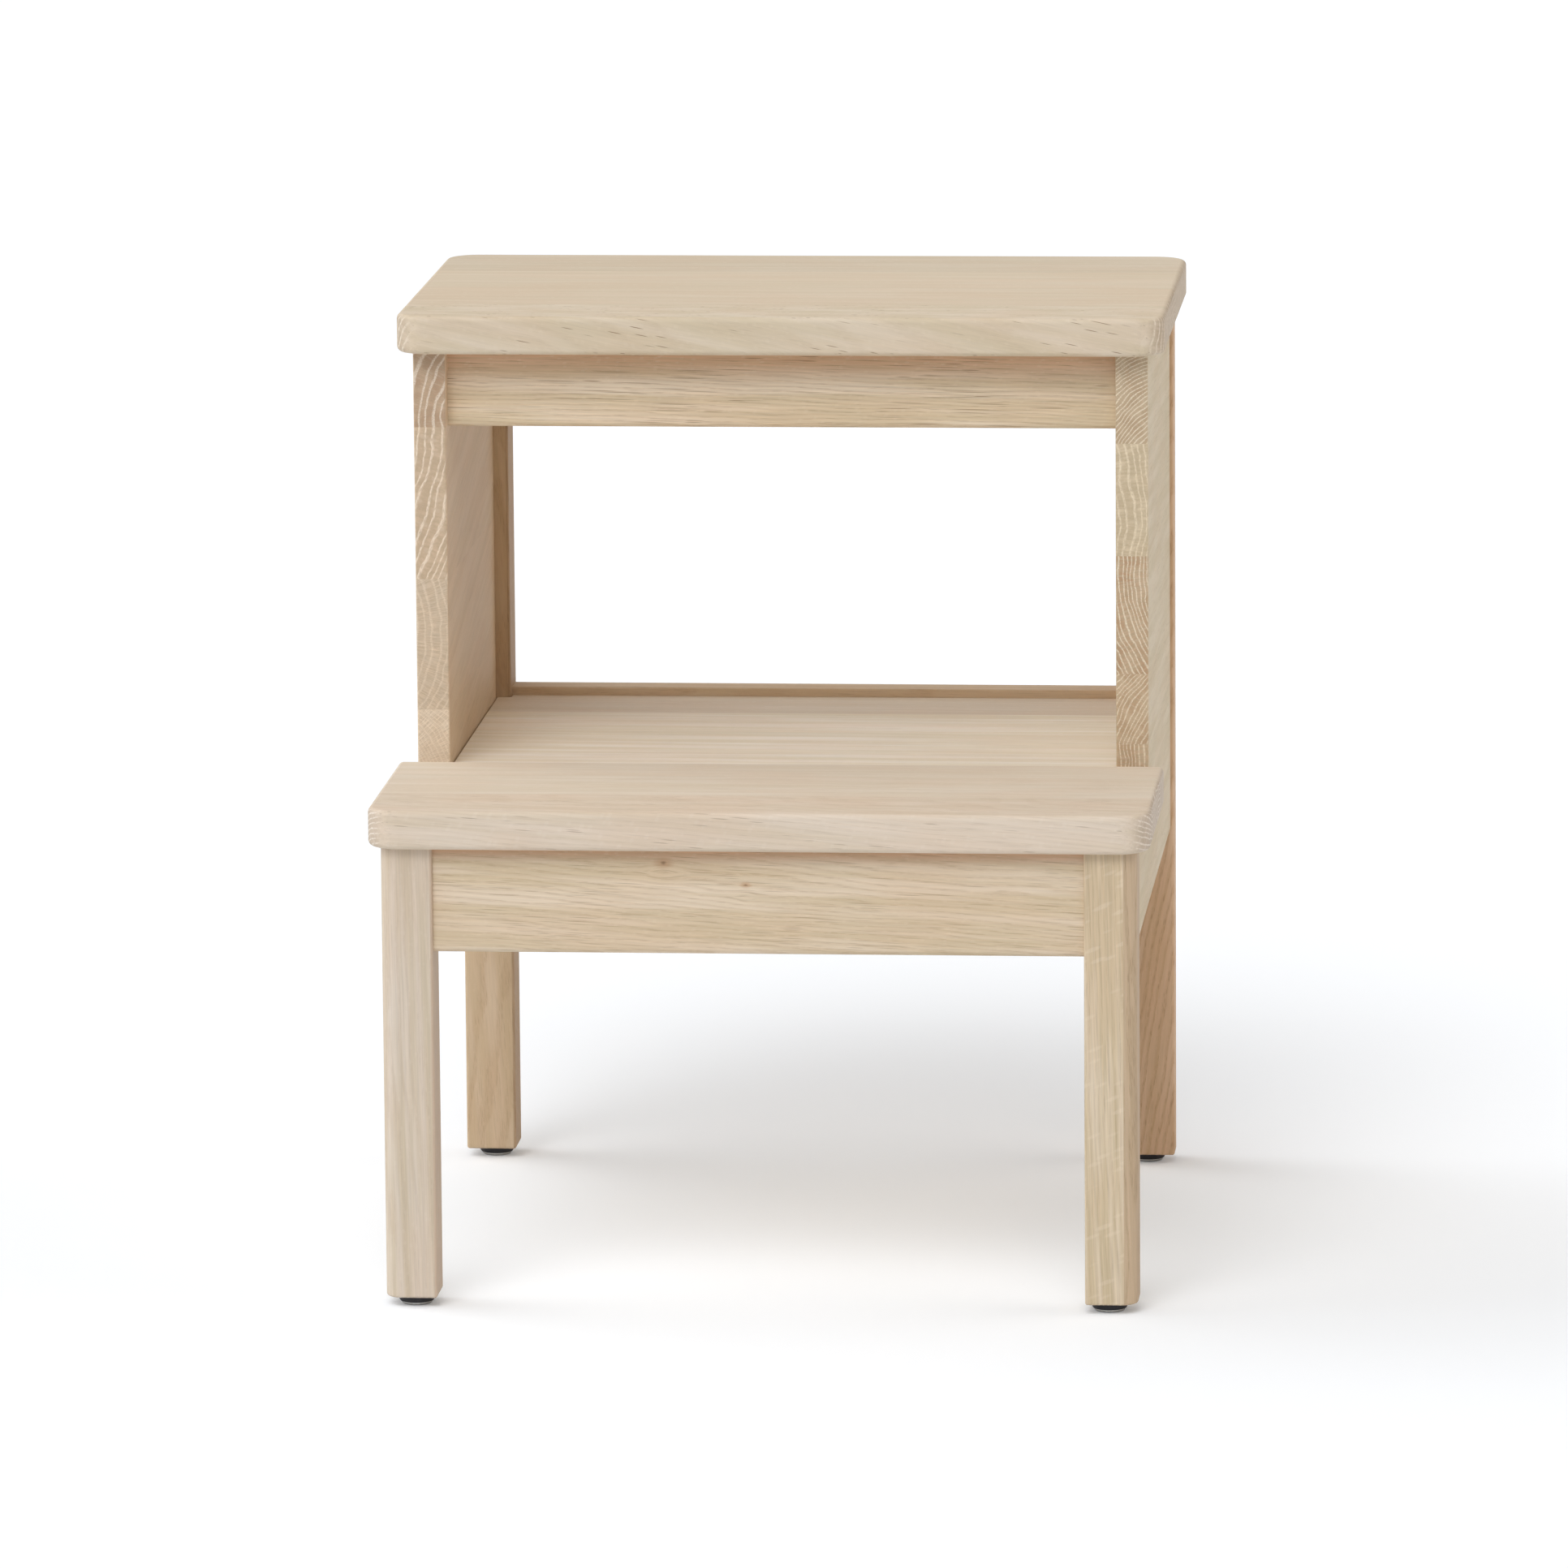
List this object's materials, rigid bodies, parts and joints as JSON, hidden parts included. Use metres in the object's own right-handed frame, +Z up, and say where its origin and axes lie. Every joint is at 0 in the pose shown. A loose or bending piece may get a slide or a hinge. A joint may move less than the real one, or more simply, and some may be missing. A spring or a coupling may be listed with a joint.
{
  "type": "step stool",
  "caption": "Rigid two-tier step stool of solid wood with an overhanging upper seat, a lower front step, panelled sides and an open shelf space between them.",
  "frame": {"origin": "on the floor, at the middle of the footprint's bounding box", "axes": "+X to the stool's right as seen from the front, +Y from the lower step towards the rear, +Z up"},
  "size_m": [0.4, 0.412, 0.494],
  "materials": {
    "oak": "pale matte oil, open grain",
    "beech_dowel": "unfinished",
    "screw_steel": "zinc plated",
    "glide_plastic": "matte black nylon",
    "glide_steel": "satin nickel plate"
  },
  "bodies": {
    "root": {"upper_tread": "oak", "lower_tread": "oak", "left_side_panel": "oak", "right_side_panel": "oak", "front_left_leg": "oak", "front_right_leg": "oak", "rear_left_leg": "oak", "rear_right_leg": "oak", "upper_front_apron": "oak", "upper_rear_rail": "oak", "lower_front_apron": "oak", "shelf": "oak", "shelf_rear_rail": "oak", "lower_apron_dowels": "beech_dowel", "upper_apron_dowels": "beech_dowel", "upper_rail_dowels": "beech_dowel", "shelf_rail_dowels": "beech_dowel", "left_panel_dowels": "beech_dowel", "right_panel_dowels": "beech_dowel", "shelf_dowels": "beech_dowel", "upper_tread_screws": "screw_steel", "lower_tread_screws": "screw_steel", "front_left_glide_cushion": "glide_plastic", "front_right_glide_cushion": "glide_plastic", "rear_left_glide_cushion": "glide_plastic", "rear_right_glide_cushion": "glide_plastic", "front_left_glide_cap": "glide_steel", "front_right_glide_cap": "glide_steel", "rear_left_glide_cap": "glide_steel", "rear_right_glide_cap": "glide_steel"}
  },
  "joints": []
}
